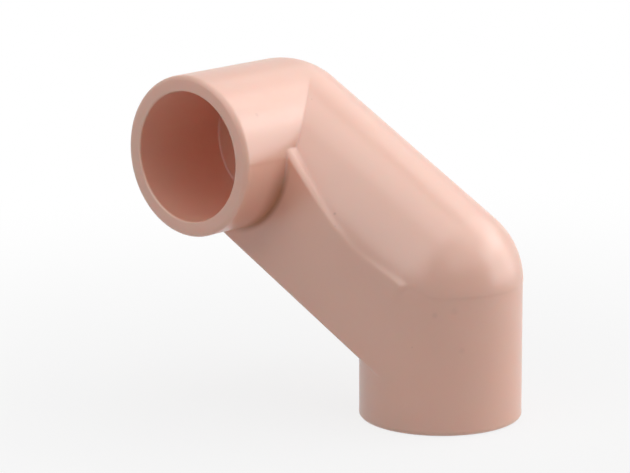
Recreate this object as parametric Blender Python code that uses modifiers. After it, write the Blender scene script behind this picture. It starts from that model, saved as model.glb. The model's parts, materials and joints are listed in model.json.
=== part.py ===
"""Moulded corner connector for round tube.

It joins the top of an upright tube to a level tube that runs past it, higher up and off to
one side. Units are metres and +Z is up. The origin is the middle of the face that the upright
tube's end seats on. The upright socket opens down, the level socket opens towards -X, and the
sloping arm between them rises towards +Y.
"""
from math import atan2, ceil, cos, pi, radians, sin, sqrt, tan

import bmesh
import bpy
from mathutils import Matrix, Vector

# Tube and socket walls
TUBE_DIAMETER = 0.028
TUBE_CLEARANCE = 0.0002  # between tube and socket, on the radius
WALL = 0.00345
SOCKET_DEPTH = 0.025  # from a mouth to the face that the tube seats on
MOUTH_ROUNDING = 0.0011  # outer edge of each mouth
LEAD_IN = 0.0003  # inner edge of each mouth

# Places of the two corners
POST_LEG = 0.0299  # upright socket's mouth to the lower corner
RAIL_LEG = 0.0303  # level socket's mouth to the upper corner
ARM_RUN = 0.0461  # level distance between the two sockets' axes
ARM_RISE = 0.0255  # from the lower corner up to the upper one

# Squared underside of the arm
KEEL_PROUD = 0.00005  # how far its flats stand out from the round arm
KEEL_EDGE_ROUNDING = 0.0009

# Raised land on the flat, from the level socket down to the lower corner
LAND_START_UP = 0.0021  # above the level socket's axis, where it leaves that socket
LAND_BEND_ALONG = 0.0134  # up the arm from the lower corner, where its top edge turns
LAND_BEND_UP = 0.0024  # square to the arm there, above the arm's axis
LAND_BEND_RADIUS = 0.02
LAND_TIP_RUN = 0.0035  # past the upright socket's axis
LAND_TIP_UP = 0.0026  # above the lower corner
LAND_EDGE_ROUNDING = 0.0003

# Round stretches
SEGMENTS = 72
ROUNDING_SEGMENTS = 4
SHARP = radians(50)  # edges that turn more than this are rounded

BORE_RADIUS = TUBE_DIAMETER / 2 + TUBE_CLEARANCE
OUTER_RADIUS = BORE_RADIUS + WALL
FLAT = OUTER_RADIUS + KEEL_PROUD
SLOPE = atan2(ARM_RISE, ARM_RUN)
REACH = 2 * OUTER_RADIUS

POST_MOUTH = Vector((0, 0, -SOCKET_DEPTH))
LOWER_CORNER = POST_MOUTH + Vector((0, 0, POST_LEG))
UPPER_CORNER = LOWER_CORNER + Vector((0, ARM_RUN, ARM_RISE))
RAIL_MOUTH = UPPER_CORNER - Vector((RAIL_LEG, 0, 0))

PINK = (0.86, 0.56, 0.48, 1)


def clear_scene():
    for thing in list(bpy.data.objects):
        bpy.data.objects.remove(thing, do_unlink=True)


def new_collection(name):
    collection = bpy.data.collections.new(name)
    bpy.context.scene.collection.children.link(collection)
    return collection


def plastic():
    material = bpy.data.materials.new("pink_plastic")
    material.use_nodes = True
    shader = material.node_tree.nodes["Principled BSDF"]
    shader.inputs["Base Color"].default_value = PINK
    shader.inputs["Roughness"].default_value = 0.38
    shader.inputs["Metallic"].default_value = 0
    return material


def new_object(name, mesh, collection):
    thing = bpy.data.objects.new(name, mesh)
    collection.objects.link(thing)
    return thing


def as_tool(thing):
    """Mark an object that only cuts or adds to another one."""
    thing.hide_render = True
    thing.display_type = "WIRE"
    return thing


def boolean(thing, operation, tool):
    step = thing.modifiers.new(f"{operation.lower()}_{tool.name}", "BOOLEAN")
    step.operation = operation
    step.solver = "EXACT"
    step.object = tool


def rounded(thing, width):
    bevel = thing.modifiers.new("rounding", "BEVEL")
    bevel.width = width
    bevel.segments = ROUNDING_SEGMENTS
    bevel.limit_method = "ANGLE"
    bevel.angle_limit = SHARP


def circle_points(centre, axis, side, radius):
    """Points round an axis, the first of them towards side."""
    turn = 2 * pi / SEGMENTS
    return [centre + Matrix.Rotation(turn * i, 3, axis) @ side * radius for i in range(SEGMENTS)]


def corner_rings(corner, way_in, way_out, side):
    """Rings that turn a round bar through a corner.

    The outer half of the ring swings about the corner, so that side is part of a ball. The
    inner half stays on the mitre, where the two straight bars meet.
    """
    hinge = way_in.cross(way_out).normalized()
    inward = hinge.cross(way_in)
    bend = way_in.angle(way_out)
    steps = ceil(bend / (2 * pi / SEGMENTS))
    rings = []
    for step in range(steps + 1):
        swing = Matrix.Rotation(bend * step / steps, 3, hinge)
        ring = []
        for point in circle_points(Vector(), way_in, side, OUTER_RADIUS):
            across = point.dot(inward)
            if across > 0:
                ring.append(corner + point - way_in * across * tan(bend / 2))
            else:
                ring.append(corner + swing @ point)
        rings.append(ring)
    return rings, Matrix.Rotation(bend, 3, hinge) @ side


def bridge(bm, rings):
    """Close rings of points into one solid with a flat cap at each end."""
    loops = [[bm.verts.new(point) for point in ring] for ring in rings]
    for low, high in zip(loops, loops[1:]):
        for i in range(SEGMENTS):
            j = (i + 1) % SEGMENTS
            bm.faces.new((low[i], low[j], high[j], high[i]))
    bm.faces.new(list(reversed(loops[0])))
    bm.faces.new(loops[-1])
    bmesh.ops.remove_doubles(bm, verts=bm.verts, dist=1e-6)


def round_bar(collection):
    """Upright leg, ball corner, sloping arm, ball corner and level leg, in one surface."""
    up = Vector((0, 0, 1))
    along_arm = (UPPER_CORNER - LOWER_CORNER).normalized()
    to_rail = (RAIL_MOUTH - UPPER_CORNER).normalized()
    side = Vector((1, 0, 0))
    rings = [circle_points(POST_MOUTH, up, side, OUTER_RADIUS)]
    lower, side = corner_rings(LOWER_CORNER, up, along_arm, side)
    upper, side = corner_rings(UPPER_CORNER, along_arm, to_rail, side)
    rings += lower + upper
    rings.append(circle_points(RAIL_MOUTH, to_rail, side, OUTER_RADIUS))

    bm = bmesh.new()
    bridge(bm, rings)
    mouth_edges = [edge for face in bm.faces if len(face.verts) == SEGMENTS for edge in face.edges]
    bmesh.ops.bevel(bm, geom=mouth_edges, offset=MOUTH_ROUNDING, segments=ROUNDING_SEGMENTS,
                    profile=0.5, affect="EDGES")
    mesh = bpy.data.meshes.new("corner_connector")
    bm.to_mesh(mesh)
    bm.free()
    return new_object("corner_connector", mesh, collection)


def flat_solid(name, outline, thickness, collection):
    """Thick plate from an outline in its own XY plane, made of a filled 2D curve."""
    curve = bpy.data.curves.new(name, "CURVE")
    curve.dimensions = "2D"
    curve.fill_mode = "BOTH"
    curve.extrude = thickness / 2
    line = curve.splines.new("POLY")
    line.points.add(len(outline) - 1)
    for point, (x, y) in zip(line.points, outline):
        point.co = (x, y, 0, 1)
    line.use_cyclic_u = True
    guide = new_object(f"{name}_outline", curve, collection)
    mesh = bpy.data.meshes.new_from_object(guide.evaluated_get(bpy.context.evaluated_depsgraph_get()))
    bpy.data.objects.remove(guide)
    bm = bmesh.new()
    bm.from_mesh(mesh)
    bmesh.ops.remove_doubles(bm, verts=bm.verts, dist=1e-6)
    bmesh.ops.dissolve_limit(bm, angle_limit=0.001, verts=bm.verts, edges=bm.edges)
    bmesh.ops.recalc_face_normals(bm, faces=bm.faces)
    bm.to_mesh(mesh)
    bm.free()
    return as_tool(new_object(name, mesh, collection))


def rounded_corner(before, corner, after, radius):
    """Points of the arc that rounds off a corner of an outline."""
    way_in = (corner - before).normalized()
    way_out = (after - corner).normalized()
    turn = -way_in.angle_signed(way_out)
    setback = radius * tan(abs(turn) / 2)
    start = corner - way_in * setback
    centre = start + way_in.orthogonal() * radius * (1 if turn > 0 else -1)
    spokes = [Matrix.Rotation(turn * i / ROUNDING_SEGMENTS, 2) @ (start - centre)
              for i in range(ROUNDING_SEGMENTS + 1)]
    return [centre + spoke for spoke in spokes]


def height_on_arm(y, above):
    """Height at y of a line that runs beside the arm's axis, this far above it."""
    return LOWER_CORNER.z + y * tan(SLOPE) + above / cos(SLOPE)


def beside_arm(along, above):
    """Point at a distance up the arm from the lower corner and square to the arm's axis."""
    return (along * cos(SLOPE) - above * sin(SLOPE),
            LOWER_CORNER.z + along * sin(SLOPE) + above * cos(SLOPE))


def facing_x(thing, x):
    """Stand a plate up so that its own X and Y become the part's Y and Z."""
    thing.matrix_world = Matrix(((0, 0, 1, x), (1, 0, 0, 0), (0, 1, 0, 0), (0, 0, 0, 1)))
    return thing


def keel(collection):
    """Squared underside of the arm: upright flat sides, a round far end and a sloping floor."""
    far = ARM_RUN + FLAT + WALL
    profile = [
        (0, LOWER_CORNER.z),
        (0, height_on_arm(0, -FLAT)),
        (far, height_on_arm(far, -FLAT)),
        (far, UPPER_CORNER.z),
        (ARM_RUN, UPPER_CORNER.z),
    ]
    side = facing_x(flat_solid("keel", profile, 2 * FLAT, collection), 0)
    end = [(FLAT * cos(pi * i * 2 / SEGMENTS), ARM_RUN + FLAT * sin(pi * i * 2 / SEGMENTS))
           for i in range(SEGMENTS // 2 + 1)]
    plan = [(-FLAT, -REACH), (FLAT, -REACH)] + end
    trim = flat_solid("keel_plan", plan, 4 * REACH, collection)
    boolean(side, "INTERSECT", trim)
    rounded(side, KEEL_EDGE_ROUNDING)
    return side


def land(collection):
    """Raised land on the flat beside the level socket."""
    start = Vector((ARM_RUN - sqrt(OUTER_RADIUS ** 2 - LAND_START_UP ** 2),
                    UPPER_CORNER.z + LAND_START_UP))
    bend = Vector(beside_arm(LAND_BEND_ALONG, LAND_BEND_UP))
    tip = Vector((-LAND_TIP_RUN, LOWER_CORNER.z + LAND_TIP_UP))
    hidden_start = start + (start - bend).normalized() * BORE_RADIUS / 2
    outline = [
        hidden_start,
        *rounded_corner(hidden_start, bend, tip, LAND_BEND_RADIUS),
        tip,
        (0, LOWER_CORNER.z - LAND_TIP_UP),
        (hidden_start.x, height_on_arm(hidden_start.x, -LAND_BEND_UP)),
    ]
    depth = OUTER_RADIUS / 2
    plate = flat_solid("land", outline, depth, collection)
    facing_x(plate, depth / 2 - FLAT)
    rounded(plate, LAND_EDGE_ROUNDING)
    return plate


def bore(name, mouth, inward, collection):
    """Cutter for a socket: a straight bore with a flat end and a small lead-in at the mouth."""
    profile = [
        (0, -SOCKET_DEPTH),
        (BORE_RADIUS, -SOCKET_DEPTH),
        (BORE_RADIUS, -LEAD_IN),
        (BORE_RADIUS + 2 * LEAD_IN, LEAD_IN),
        (0, LEAD_IN),
    ]
    bm = bmesh.new()
    verts = [bm.verts.new((x, 0, z)) for x, z in reversed(profile)]
    for a, b in zip(verts, verts[1:]):
        bm.edges.new((a, b))
    mesh = bpy.data.meshes.new(name)
    bm.to_mesh(mesh)
    bm.free()
    cutter = as_tool(new_object(name, mesh, collection))
    turn = cutter.modifiers.new("turn", "SCREW")
    turn.steps = SEGMENTS
    turn.render_steps = SEGMENTS
    turn.use_merge_vertices = True
    turn.merge_threshold = 1e-6
    cutter.matrix_world = (Matrix.Translation(mouth)
                           @ inward.to_track_quat("-Z", "Y").to_matrix().to_4x4())
    return cutter


def smooth(thing):
    thing.data.shade_smooth()
    thing.data.set_sharp_from_angle(angle=pi / 6)


def build():
    clear_scene()
    parts = new_collection("corner_connector")
    tools = new_collection("tools")
    body = round_bar(parts)
    body.data.materials.append(plastic())
    boolean(body, "UNION", keel(tools))
    boolean(body, "UNION", land(tools))
    boolean(body, "DIFFERENCE", bore("post_bore", POST_MOUTH, Vector((0, 0, 1)), tools))
    boolean(body, "DIFFERENCE", bore("rail_bore", RAIL_MOUTH, Vector((1, 0, 0)), tools))
    smooth(body)


build()
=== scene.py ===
"""Looks of the pink corner connector: its moulded surface, plastic, light and camera."""
import json
from math import atan2, cos, radians, sin

import bpy
import numpy as np
from mathutils import Matrix, Vector

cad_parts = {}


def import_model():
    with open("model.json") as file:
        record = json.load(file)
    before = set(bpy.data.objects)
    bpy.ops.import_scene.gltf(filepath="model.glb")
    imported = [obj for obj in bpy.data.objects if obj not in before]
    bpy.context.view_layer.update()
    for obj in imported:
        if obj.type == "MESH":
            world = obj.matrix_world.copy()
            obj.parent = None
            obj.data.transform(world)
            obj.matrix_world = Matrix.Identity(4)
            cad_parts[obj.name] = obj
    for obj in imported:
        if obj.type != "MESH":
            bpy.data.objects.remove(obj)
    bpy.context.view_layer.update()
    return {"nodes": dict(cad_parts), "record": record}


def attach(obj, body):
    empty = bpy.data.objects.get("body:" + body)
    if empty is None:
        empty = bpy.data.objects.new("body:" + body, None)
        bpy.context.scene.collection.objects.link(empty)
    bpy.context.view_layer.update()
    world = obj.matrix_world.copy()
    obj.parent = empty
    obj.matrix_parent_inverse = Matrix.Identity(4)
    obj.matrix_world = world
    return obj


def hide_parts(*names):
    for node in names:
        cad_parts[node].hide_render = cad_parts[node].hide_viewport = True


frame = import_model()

MOUNTS = {mount["name"]: Vector(mount["pos_m"]) for mount in frame["record"]["mounts"]}

# Sizes of the moulding, in metres
BORE_RADIUS = 0.0142
OUTER_RADIUS = 0.01765
MOUTH_ROUNDING = 0.0011
KEEL_EDGE_ROUNDING = 0.0009
POST_LEG = 0.0299

# Raised land beside the level socket: its top edge falls from a start at the socket, turns at a
# bend and runs out in a tip beside the lower corner
LAND_START_UP = 0.0021
LAND_BEND_ALONG = 0.0134
LAND_BEND_UP = 0.0024
LAND_BEND_BLEND = 0.0017
LAND_TIP_RUN = 0.0042
LAND_TIP_UP = 0.0024
LAND_EDGE_ROUNDING = 0.0012

# Lower down the land's edge melts into the skin instead, over a width. Along +Y it turns from
# melted to crisp between two places
LAND_MELT = 0.0017
LAND_CRISP = (0.0125, 0.0175)

# The mould's two halves meet a little out of line, the upper one standing proud
SEAM_STEP = 0.0001
SEAM_WIDTH = 0.0002
SEAM_END_RUN = 0.011

POST_SEAT = MOUNTS["post_seat"]
POST_MOUTH = Vector((0, 0, MOUNTS["post_mouth"].z))
RAIL_SEAT = MOUNTS["rail_seat"]
RAIL_MOUTH = Vector((MOUNTS["rail_mouth"].x, RAIL_SEAT.y, RAIL_SEAT.z))
LOWER_CORNER = POST_MOUTH + Vector((0, 0, POST_LEG))
UPPER_CORNER = Vector((0, RAIL_SEAT.y, RAIL_SEAT.z))
ARM = UPPER_CORNER - LOWER_CORNER
SLOPE = atan2(ARM.z, ARM.y)
LAND_TIP = (-LAND_TIP_RUN, LOWER_CORNER.z + LAND_TIP_UP)

# Mesh of the moulding
VOXEL = 0.00025
STEP = 0.00002
PROJECTIONS = 3
LEAST_STEEPNESS = 0.25
SOFTEN_FACTOR = 0.5
SOFTEN_ROUNDS = 6
TRIANGLES = 185000

# Further softening about a line just above the land's edge: its reach from the line, its ends
# along +Y, its inner side, and the lengths over which it fades at each
LAND_SOFTEN_ROUNDS = 16
LAND_SOFT_LINE = 0.0005
LAND_SOFT_REACH = 0.003
LAND_SOFT_ENDS = (-2 * LAND_TIP_RUN, 0.021)
LAND_SOFT_END_FADES = (0.001, 0.005)
LAND_SOFT_INNER = OUTER_RADIUS * 0.7
LAND_SOFT_INNER_FADE = 0.001

# Photographer's camera
CAMERA_AT = Vector((-0.49907, -0.40883, 0.1602))
CAMERA_HEADING = radians(41.72)  # from +X towards +Y
CAMERA_DIP = radians(12.73)
CAMERA_ROLL = radians(0.2)
CAMERA_LENS = 176.6
SENSOR = 36

# Soft lamps: direction from the object as (camera's right, up, towards the camera), size, watts
LAMP_DISTANCE = 0.45
LAMPS = {
    "top": ((0, 1, 0), 0.35, 0.55),
    "right": ((0.97, 0.2, -0.12), 0.44, 1.02),
    "right_high": ((0.71, 0.71, 0), 0.35, 0.3),
    "right_back": ((0.69, 0.62, -0.37), 0.28, 0.28),
    "back_high": ((0.38, 0.68, -0.63), 0.3, 0.2),
    "front_high": ((0.38, 0.72, 0.56), 0.4, 0.32),
    "left_high": ((-0.6, 0.64, 0.5), 0.42, 0.62),
}

# Pale floor, a hair below the post's mouth, whiter with the distance from the middle
FLOOR_HALF = 4
FLOOR_DROP = 0.0001
FLOOR_COLOUR = (0.7, 0.7, 0.7, 1)
FLOOR_FADE = (0.03, 0.25)
FLOOR_WHITENESS = (0.82, 1.0)

# Noise patterns on the plastic: scale and detail, and the range that their values mostly keep to
PATTERNS = {
    "mottle": (60, 2),
    "wear": (90, 2),
    "ripple": (210, 2),
    "patches": (400, 2),
    "ragged": (900, 3),
    "grain": (1400, 3),
    "wobble": (2500, 2),
}
USUAL_NOISE = (0.2, 0.8)

# Plastic
BASE = (0.9, 0.525, 0.405)
MOTTLE = 0.015
ROUGHNESS = 0.3
WEAR = 0.012
SPECULAR_LEVEL = 1.1
SUBSURFACE = 0.6
SUBSURFACE_RADIUS = (1.0, 0.45, 0.3)
SUBSURFACE_SCALE = 0.003
GRAIN_SHARE = 0.25
BUMP_STRENGTH = 0.05
BUMP_HEIGHT = 0.0002

# Painted shade in the corner under the level socket, a brown darkening of the colour where the
# socket shades the flat:
# a soft veil and a ragged, patchy core. Both start and end by degrees round the socket from its
# near side. A distance out from the socket counts FLAT_SIDE times, so the painted shade lies mostly
# on the socket's side of the corner
# colour of the painted shade in the corner
PAINTED_SHADE = (0.46, 0.15, 0.045)
PAINTED_SHADE_START = (-4, 30)
FLAT_SIDE = 3.6
VEIL_AMOUNT = 0.75
VEIL_REACH = 0.0055
VEIL_END = (50, 95)
VEIL_PAST_END = 0.2
VEIL_DULLING = 0.7
CORE_AMOUNT = 0.4
CORE_REACH = (0.0007, 0.00182)
CORE_RAGGEDNESS = 0.0014
CORE_END = (38, 62)
CORE_PAST_END = 0.05
PATCHES = (0.35, 0.6)
PATCH_LEAST = 0.6

# Sparse faint specks moulded in: one to a cell of the pattern, in few of the cells
SPECK = (0.3, 0.12, 0.08)
SPECK_CELLS = 190
SPECK_RADIUS = (0.03, 0.05)
SPECK_RARITY = 0.86
SPECK_STRENGTH = 0.15

# Small faint marks left by handling: place, radius and strength
MARKS = [
    ((-0.0236, 0.0316, 0.0404), 0.0005, 0.14),
    ((-0.0167, 0.0156, 0.0200), 0.00034, 0.32),
    ((-0.0176, 0.0148, 0.0176), 0.0003, 0.25),
    ((-0.0116, -0.0133, 0.0023), 0.0007, 0.06),
    ((-0.0144, -0.0102, 0.0015), 0.0006, 0.1),
    ((-0.0103, -0.0143, -0.0063), 0.0006, 0.06),
]
MARK_FADE = (0.5, 1.7)
MARK_WOBBLE = 0.0002


def rounded_edge(a, b, radius):
    """Distance to what lies inside both a and b, with their shared square edge rounded."""
    a = a + radius
    b = b + radius
    return np.minimum(np.maximum(a, b), 0) + np.hypot(np.maximum(a, 0), np.maximum(b, 0)) - radius


def smooth_min(a, b, width):
    """The smaller distance, with a soft change from one to the other."""
    overlap = np.maximum(width - np.abs(a - b), 0) / width
    return np.minimum(a, b) - overlap ** 2 * width / 4


def smooth_step(share):
    """From 0 to 1 with soft ends."""
    share = np.clip(share, 0, 1)
    return share ** 2 * (3 - 2 * share)


def above_line(y, z, start, end):
    """Signed distance above a line in the plane of the arm, which runs from start to end."""
    run, rise = end[0] - start[0], end[1] - start[1]
    length = (run ** 2 + rise ** 2) ** 0.5
    return ((z - start[1]) * run - (y - start[0]) * rise) / length


def above_arm_axis(y, z):
    """Signed distance above the arm's axis."""
    return above_line(y, z, (0, LOWER_CORNER.z), (ARM.y, UPPER_CORNER.z))


def beside_arm(along, above):
    """Point (y, z) at a distance up the arm from the lower corner and square to its axis."""
    return (along * cos(SLOPE) - above * sin(SLOPE),
            LOWER_CORNER.z + along * sin(SLOPE) + above * cos(SLOPE))


def post(x, y, z):
    """Upright socket's outside."""
    wall = rounded_edge(np.hypot(x, y) - OUTER_RADIUS, POST_MOUTH.z - z, MOUTH_ROUNDING)
    return np.maximum(wall, z - LOWER_CORNER.z)


def rail(x, y, z):
    """Level socket's outside."""
    radial = np.hypot(y - RAIL_MOUTH.y, z - RAIL_MOUTH.z) - OUTER_RADIUS
    return np.maximum(rounded_edge(radial, RAIL_MOUTH.x - x, MOUTH_ROUNDING), x)


def arm(x, y, z):
    """Round arm with a ball at each corner."""
    along = (y * ARM.y + (z - LOWER_CORNER.z) * ARM.z) / ARM.length_squared
    along = np.clip(along, 0, 1)
    off_y = y - along * ARM.y
    off_z = z - LOWER_CORNER.z - along * ARM.z
    return np.sqrt(x ** 2 + off_y ** 2 + off_z ** 2) - OUTER_RADIUS


def keel(x, y, z):
    """Squared underside of the arm."""
    sides = np.hypot(x, np.maximum(y - ARM.y, 0)) - OUTER_RADIUS
    above_axis = above_arm_axis(y, z)
    underside = -above_axis - OUTER_RADIUS
    top = np.maximum(above_axis, z - UPPER_CORNER.z)
    body = rounded_edge(sides, underside, KEEL_EDGE_ROUNDING)
    return np.maximum(np.maximum(body, top), -y)


def above_land(y, z):
    """Signed distance above the land's top edge."""
    start = (UPPER_CORNER.y - (OUTER_RADIUS ** 2 - LAND_START_UP ** 2) ** 0.5,
             UPPER_CORNER.z + LAND_START_UP)
    bend = beside_arm(LAND_BEND_ALONG, LAND_BEND_UP)
    upper = above_line(y, z, bend, start)
    lower = above_line(y, z, LAND_TIP, bend)
    return smooth_min(upper, lower, LAND_BEND_BLEND)


def land(x, y, z, skin):
    """Raised land on the flat: crisp beside the level socket, melting into the skin lower down."""
    top = above_land(y, z)
    end = above_line(y, z, (0, LOWER_CORNER.z - LAND_TIP_UP), LAND_TIP)
    face = -x - OUTER_RADIUS
    crisp = np.maximum(rounded_edge(top, face, LAND_EDGE_ROUNDING), end)
    melted = smooth_step(np.maximum(top, end) / LAND_MELT + 0.5)
    soft = face * (1 - melted) + skin * melted
    low, high = LAND_CRISP
    shape = soft + (crisp - soft) * smooth_step((y - low) / (high - low))

    inside = np.maximum(x + OUTER_RADIUS / 2, y - UPPER_CORNER.y)
    in_socket = z - UPPER_CORNER.z - 2 * LAND_START_UP
    below = -above_arm_axis(y, z) - LAND_TIP_UP
    return np.maximum.reduce([shape, inside, in_socket, below])


def bores(x, y, z):
    """The two sockets' bores."""
    post_bore = np.maximum(np.hypot(x, y) - BORE_RADIUS, z - POST_SEAT.z)
    rail_radial = np.hypot(y - RAIL_SEAT.y, z - RAIL_SEAT.z) - BORE_RADIUS
    return np.minimum(post_bore, np.maximum(rail_radial, x - RAIL_SEAT.x))


def above_seam(x, y, z):
    """Height above the line where the mould's halves met. On the near side the line follows the
    land's top edge, round each end it lies at the corner's height, and on the far side it runs
    along the arm's axis."""
    axis = LOWER_CORNER.z + np.clip(y / ARM.y, 0, 1) * ARM.z
    run_out = (y + SEAM_END_RUN) / (SEAM_END_RUN - LAND_TIP_RUN)
    before_land = z - LOWER_CORNER.z - LAND_TIP_UP * smooth_step(run_out)
    near = np.where(y < LAND_TIP[0], before_land, above_land(y, z))
    near = np.where((x < -OUTER_RADIUS) | (y > UPPER_CORNER.y), z - UPPER_CORNER.z, near)
    near = np.maximum(near, z - UPPER_CORNER.z - LAND_START_UP)
    return np.where(x < 0, near, z - axis)


def moulding(points):
    """Signed distance from each point to the connector's surface, negative inside."""
    x, y, z = points.T
    skin = np.minimum(post(x, y, z), arm(x, y, z))
    solid = np.minimum.reduce([skin, rail(x, y, z), keel(x, y, z), land(x, y, z, skin)])
    return np.maximum(solid, -bores(x, y, z))


def seam_step(points):
    """How far the lower half's surface lies back from the upper half's."""
    x, y, z = points.T
    behind_mouths = np.minimum(x - RAIL_MOUTH.x, z - POST_MOUTH.z) / MOUTH_ROUNDING - 0.5
    off_flat = np.where(x < -OUTER_RADIUS - STEP, 1, (x + OUTER_RADIUS) / MOUTH_ROUNDING)
    below = 0.5 - above_seam(x, y, z) / SEAM_WIDTH
    return SEAM_STEP * np.clip(np.minimum.reduce([below, behind_mouths, off_flat]), 0, 1)


def slopes(points):
    """Gradient of the distance at each point."""
    slope = np.empty_like(points)
    for axis in range(3):
        nudge = np.zeros(3)
        nudge[axis] = STEP
        slope[:, axis] = (moulding(points + nudge) - moulding(points - nudge)) / (2 * STEP)
    return slope


def onto_surface(points):
    """Move points to the nearest place on the connector's true surface."""
    for _ in range(PROJECTIONS):
        slope = slopes(points)
        steepness = np.maximum((slope ** 2).sum(axis=1), LEAST_STEEPNESS)
        points = points - slope * (moulding(points) / steepness)[:, None]
    outside = bores(*points.T) > STEP
    return points - slopes(points) * (seam_step(points) * outside)[:, None]


def new_object(name, data):
    """Object in the scene's collection."""
    thing = bpy.data.objects.new(name, data)
    bpy.context.collection.objects.link(thing)
    return thing


def bake_modifiers(thing):
    """Replace an object's mesh with its evaluated one."""
    old = thing.data
    graph = bpy.context.evaluated_depsgraph_get()
    mesh = bpy.data.meshes.new_from_object(thing.evaluated_get(graph))
    mesh.name = thing.name
    thing.data = mesh
    thing.modifiers.clear()
    bpy.data.meshes.remove(old)


def coordinates(mesh):
    """Vertices of a mesh as rows of x, y and z."""
    points = np.empty(len(mesh.vertices) * 3, dtype=np.float32)
    mesh.vertices.foreach_get("co", points)
    return points.reshape(-1, 3).astype(np.float64)


def land_weights(thing):
    """Name of a new vertex group over the land's edge and the hollow above it, the softest part."""
    x, y, z = coordinates(thing.data).T
    near_edge = 1 - np.abs(above_land(y, z) - LAND_SOFT_LINE) / LAND_SOFT_REACH
    start, end = LAND_SOFT_ENDS
    start_fade, end_fade = LAND_SOFT_END_FADES
    between_ends = np.minimum((y - start) / start_fade, (end - y) / end_fade)
    on_flat = (-x - LAND_SOFT_INNER) / LAND_SOFT_INNER_FADE
    weights = np.clip(np.minimum.reduce([near_edge * 2, between_ends, on_flat]), 0, 1)
    group = thing.vertex_groups.new(name="land")
    for index in np.nonzero(weights)[0]:
        group.add([int(index)], float(weights[index]), "REPLACE")
    return group.name


def soften(thing, rounds, group=""):
    """Smooth an object's mesh, everywhere or where a vertex group says."""
    smooth = thing.modifiers.new("soften", "SMOOTH")
    smooth.factor = SOFTEN_FACTOR
    smooth.iterations = rounds
    smooth.vertex_group = group


def connector():
    """Fine mesh of the moulding: true round surfaces, with the small radii a mould leaves."""
    thing = new_object("moulded_body", frame["nodes"]["corner_connector"].data.copy())
    voxels = thing.modifiers.new("voxels", "REMESH")
    voxels.mode = "VOXEL"
    voxels.voxel_size = VOXEL
    bake_modifiers(thing)

    mesh = thing.data
    points = onto_surface(coordinates(mesh))
    mesh.vertices.foreach_set("co", points.astype(np.float32).ravel())
    mesh.update()

    soften(thing, SOFTEN_ROUNDS)
    soften(thing, LAND_SOFTEN_ROUNDS, land_weights(thing))
    fewer = thing.modifiers.new("fewer", "DECIMATE")
    fewer.ratio = min(1, TRIANGLES / (2 * len(mesh.polygons)))
    bake_modifiers(thing)
    thing.vertex_groups.clear()

    thing.data.shade_smooth()
    return thing


class Nodes:
    """Short ways to add and link shader nodes."""

    def __init__(self, tree):
        self.tree = tree

    def add(self, kind, **settings):
        node = self.tree.nodes.new(kind)
        for name, value in settings.items():
            setattr(node, name, value)
        return node

    def feed(self, socket, value):
        """Link a node's output to a socket, or set the socket to a plain value."""
        if isinstance(value, bpy.types.NodeSocket):
            self.tree.links.new(value, socket)
        else:
            socket.default_value = value

    def math(self, operation, a, b=0.0):
        node = self.add("ShaderNodeMath", operation=operation)
        self.feed(node.inputs[0], a)
        self.feed(node.inputs[1], b)
        return node.outputs[0]

    def span(self, value, low, high, to_low=0.0, to_high=1.0):
        """Smooth change from to_low to to_high as a value goes from low to high."""
        node = self.add("ShaderNodeMapRange", interpolation_type="SMOOTHSTEP")
        for socket, number in zip(node.inputs, (value, low, high, to_low, to_high)):
            self.feed(socket, number)
        return node.outputs[0]

    def noise(self, place, pattern):
        node = self.add("ShaderNodeTexNoise")
        scale, detail = PATTERNS[pattern]
        self.feed(node.inputs["Vector"], place)
        self.feed(node.inputs["Scale"], scale)
        self.feed(node.inputs["Detail"], detail)
        return node.outputs["Fac"]

    def mix(self, amount, a, b):
        node = self.add("ShaderNodeMix", data_type="RGBA")
        self.feed(node.inputs["Factor"], amount)
        self.feed(node.inputs["A"], a)
        self.feed(node.inputs["B"], b)
        return node.outputs["Result"]


def shade(colour, factor=1.0):
    """A colour made lighter or darker, with its alpha added."""
    return tuple(part * factor for part in colour) + (1,)


def round_corner(nodes, place):
    """Distance from where the level socket meets the flat, and degrees round the socket."""
    split = nodes.add("ShaderNodeSeparateXYZ")
    nodes.feed(split.inputs[0], place)
    x, y, z = split.outputs
    along = nodes.math("SUBTRACT", RAIL_SEAT.y, y)
    down = nodes.math("SUBTRACT", RAIL_SEAT.z, z)
    squares = nodes.math("ADD", nodes.math("POWER", along, 2.0), nodes.math("POWER", down, 2.0))
    off_axis = nodes.math("SQRT", squares)
    out = nodes.math("MULTIPLY", nodes.math("SUBTRACT", off_axis, OUTER_RADIUS), FLAT_SIDE)
    out = nodes.math("POWER", out, 2.0)
    back = nodes.math("POWER", nodes.math("ADD", x, OUTER_RADIUS), 2.0)
    turn = nodes.math("DEGREES", nodes.math("ARCTAN2", down, along))
    return nodes.math("SQRT", nodes.math("ADD", out, back)), turn


def painted_shade(nodes, place):
    """Amounts of the painted shade's veil and core: darkening painted into the corner under the
    level socket.
    """
    near, turn = round_corner(nodes, place)
    starts = nodes.span(turn, *PAINTED_SHADE_START)

    veil = nodes.math("MULTIPLY", starts, nodes.span(turn, *VEIL_END, 1.0, VEIL_PAST_END))
    veil = nodes.math("MULTIPLY", nodes.span(near, 0.0, VEIL_REACH, VEIL_AMOUNT, 0.0), veil)

    core = nodes.math("MULTIPLY", starts, nodes.span(turn, *CORE_END, 1.0, CORE_PAST_END))
    ragged = nodes.math("MULTIPLY", nodes.noise(place, "ragged"), CORE_RAGGEDNESS)
    close = nodes.span(nodes.math("ADD", near, ragged), *CORE_REACH, CORE_AMOUNT, 0.0)
    patches = nodes.span(nodes.noise(place, "patches"), *PATCHES, PATCH_LEAST, 1.0)
    return veil, nodes.math("MULTIPLY", nodes.math("MULTIPLY", close, core), patches)


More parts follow.
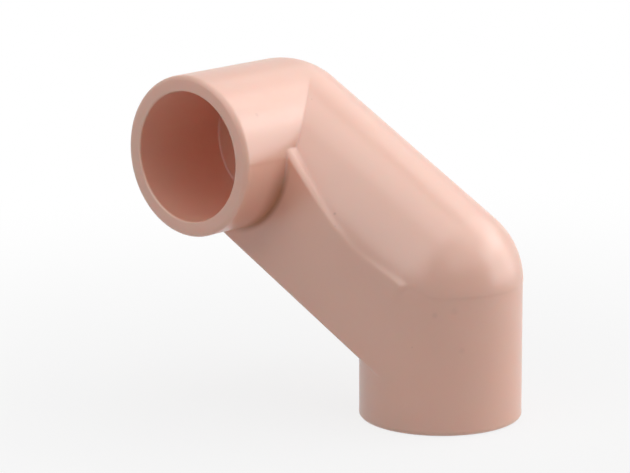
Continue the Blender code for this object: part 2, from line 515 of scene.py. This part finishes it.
def specks_and_marks(nodes, place):
    """Amount of the specks and marks."""
    cells = nodes.add("ShaderNodeTexVoronoi")
    nodes.feed(cells.inputs["Vector"], place)
    cells.inputs["Scale"].default_value = SPECK_CELLS
    draw = nodes.add("ShaderNodeSeparateColor")
    nodes.feed(draw.inputs[0], cells.outputs["Color"])
    chosen = nodes.math("GREATER_THAN", draw.outputs[0], SPECK_RARITY)
    speck = nodes.span(cells.outputs["Distance"], *SPECK_RADIUS, 1.0, 0.0)
    amount = nodes.math("MULTIPLY", nodes.math("MULTIPLY", speck, chosen), SPECK_STRENGTH)

    wobble = nodes.math("MULTIPLY", nodes.noise(place, "wobble"), MARK_WOBBLE)
    inner, outer = MARK_FADE
    for centre, radius, strength in MARKS:
        gap = nodes.add("ShaderNodeVectorMath", operation="DISTANCE")
        nodes.feed(gap.inputs[0], place)
        gap.inputs[1].default_value = centre
        spread = nodes.math("ADD", gap.outputs["Value"], wobble)
        mark = nodes.span(spread, radius * inner, radius * outer, strength, 0.0)
        amount = nodes.math("MAXIMUM", amount, mark)
    return amount


def uneven_surface(nodes, place):
    """Normal of the faintly uneven surface."""
    fine = nodes.math("MULTIPLY", nodes.noise(place, "grain"), GRAIN_SHARE)
    bump = nodes.add("ShaderNodeBump")
    bump.inputs["Strength"].default_value = BUMP_STRENGTH
    bump.inputs["Distance"].default_value = BUMP_HEIGHT
    nodes.feed(bump.inputs["Height"], nodes.math("ADD", nodes.noise(place, "ripple"), fine))
    return bump.outputs["Normal"]


def plastic():
    """Satin moulded plastic, with painted shade in the corner under the level socket and a few
    small marks.
    """
    material = bpy.data.materials.new("pink_plastic")
    material.use_nodes = True
    nodes = Nodes(material.node_tree)
    shader = material.node_tree.nodes["Principled BSDF"]
    place = nodes.add("ShaderNodeTexCoord").outputs["Object"]

    mottle = nodes.span(nodes.noise(place, "mottle"), *USUAL_NOISE)
    colour = nodes.mix(mottle, shade(BASE, 1 - MOTTLE), shade(BASE, 1 + MOTTLE))
    # the veil and core are painted shade that darkens the colour in the corner under the level
    # socket; the specks and marks are real blemishes
    veil, core = painted_shade(nodes, place)
    for amount, tint in ((veil, PAINTED_SHADE), (core, PAINTED_SHADE), (specks_and_marks(nodes, place), SPECK)):
        colour = nodes.mix(amount, colour, shade(tint))
    nodes.feed(shader.inputs["Base Color"], colour)

    wear = nodes.span(nodes.noise(place, "wear"), *USUAL_NOISE, ROUGHNESS - WEAR, ROUGHNESS + WEAR)
    dulled = nodes.math("ADD", wear, nodes.math("MULTIPLY", veil, VEIL_DULLING))
    nodes.feed(shader.inputs["Roughness"], dulled)
    nodes.feed(shader.inputs["Normal"], uneven_surface(nodes, place))

    shader.inputs["Specular IOR Level"].default_value = SPECULAR_LEVEL
    shader.inputs["Subsurface Weight"].default_value = SUBSURFACE
    shader.inputs["Subsurface Radius"].default_value = SUBSURFACE_RADIUS
    shader.inputs["Subsurface Scale"].default_value = SUBSURFACE_SCALE
    return material


def white_backdrop(tree, lit, strength=1.0):
    """Mix a lit shader with plain white, which only the camera, mirrors and glass see."""
    nodes = Nodes(tree)
    path = nodes.add("ShaderNodeLightPath").outputs
    seen = nodes.math("MAXIMUM", path["Is Camera Ray"], path["Is Glossy Ray"])
    seen = nodes.math("MAXIMUM", seen, path["Is Transmission Ray"])
    white = nodes.add("ShaderNodeEmission")
    mix = nodes.add("ShaderNodeMixShader")
    nodes.feed(mix.inputs[0], nodes.math("MULTIPLY", seen, strength))
    nodes.feed(mix.inputs[1], lit)
    nodes.feed(mix.inputs[2], white.outputs[0])
    return mix.outputs[0]


def floor_material():
    """Matt grey that shows white to the camera, least so round the object."""
    material = bpy.data.materials.new("floor")
    material.use_nodes = True
    tree = material.node_tree
    tree.nodes.remove(tree.nodes["Principled BSDF"])
    nodes = Nodes(tree)
    lit = nodes.add("ShaderNodeBsdfDiffuse")
    lit.inputs["Color"].default_value = FLOOR_COLOUR
    far = nodes.add("ShaderNodeVectorMath", operation="LENGTH")
    nodes.feed(far.inputs[0], nodes.add("ShaderNodeTexCoord").outputs["Object"])
    whiteness = nodes.span(far.outputs["Value"], *FLOOR_FADE, *FLOOR_WHITENESS)
    surface = white_backdrop(tree, lit.outputs[0], whiteness)
    nodes.feed(tree.nodes["Material Output"].inputs["Surface"], surface)
    return material


def floor():
    """Pale floor, which keeps the object's shadow and runs out to white."""
    half = FLOOR_HALF
    z = POST_MOUTH.z - FLOOR_DROP
    corners = [(-half, -half, z), (half, -half, z), (half, half, z), (-half, half, z)]
    mesh = bpy.data.meshes.new("floor")
    mesh.from_pydata(corners, [], [(0, 1, 2, 3)])
    mesh.materials.append(floor_material())
    thing = new_object("floor", mesh)


def camera():
    """The photographer's camera, found from the edges of the photo."""
    data = bpy.data.cameras.new("camera")
    data.lens = CAMERA_LENS
    data.sensor_width = SENSOR
    thing = new_object("camera", data)
    level = cos(CAMERA_DIP)
    ahead = Vector((cos(CAMERA_HEADING) * level, sin(CAMERA_HEADING) * level, -sin(CAMERA_DIP)))
    right = ahead.cross(Vector((0, 0, 1))).normalized()
    turn = Matrix((right, right.cross(ahead), -ahead)).transposed()
    turn = turn @ Matrix.Rotation(-CAMERA_ROLL, 3, "Z")
    thing.matrix_world = Matrix.Translation(CAMERA_AT) @ turn.to_4x4()
    bpy.context.scene.camera = thing


def lamps():
    """Soft studio lamps round the object."""
    aim = (LOWER_CORNER + UPPER_CORNER) / 2
    right = Vector((sin(CAMERA_HEADING), -cos(CAMERA_HEADING), 0))
    towards = Vector((-cos(CAMERA_HEADING), -sin(CAMERA_HEADING), 0))
    for name, (direction, size, watts) in LAMPS.items():
        data = bpy.data.lights.new(name, "AREA")
        data.size = size
        data.energy = watts
        thing = new_object(name, data)
        across, up, near = direction
        way = (right * across + Vector((0, 0, up)) + towards * near).normalized()
        thing.location = aim + way * LAMP_DISTANCE
        thing.rotation_euler = (-way).to_track_quat("-Z", "Y").to_euler()


def world():
    """No light of its own, and white behind the object."""
    studio = bpy.data.worlds.new("studio")
    bpy.context.scene.world = studio
    studio.use_nodes = True
    tree = studio.node_tree
    tree.nodes["Background"].inputs["Strength"].default_value = 0
    surface = white_backdrop(tree, tree.nodes["Background"].outputs[0])
    tree.links.new(surface, tree.nodes["World Output"].inputs[0])


def main():
    body = connector()
    body.data.materials.clear()
    body.data.materials.append(plastic())
    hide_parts("corner_connector")
    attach(body, "root")

    floor()
    camera()
    world()
    lamps()
    bpy.context.scene.view_settings.view_transform = "Standard"


main()
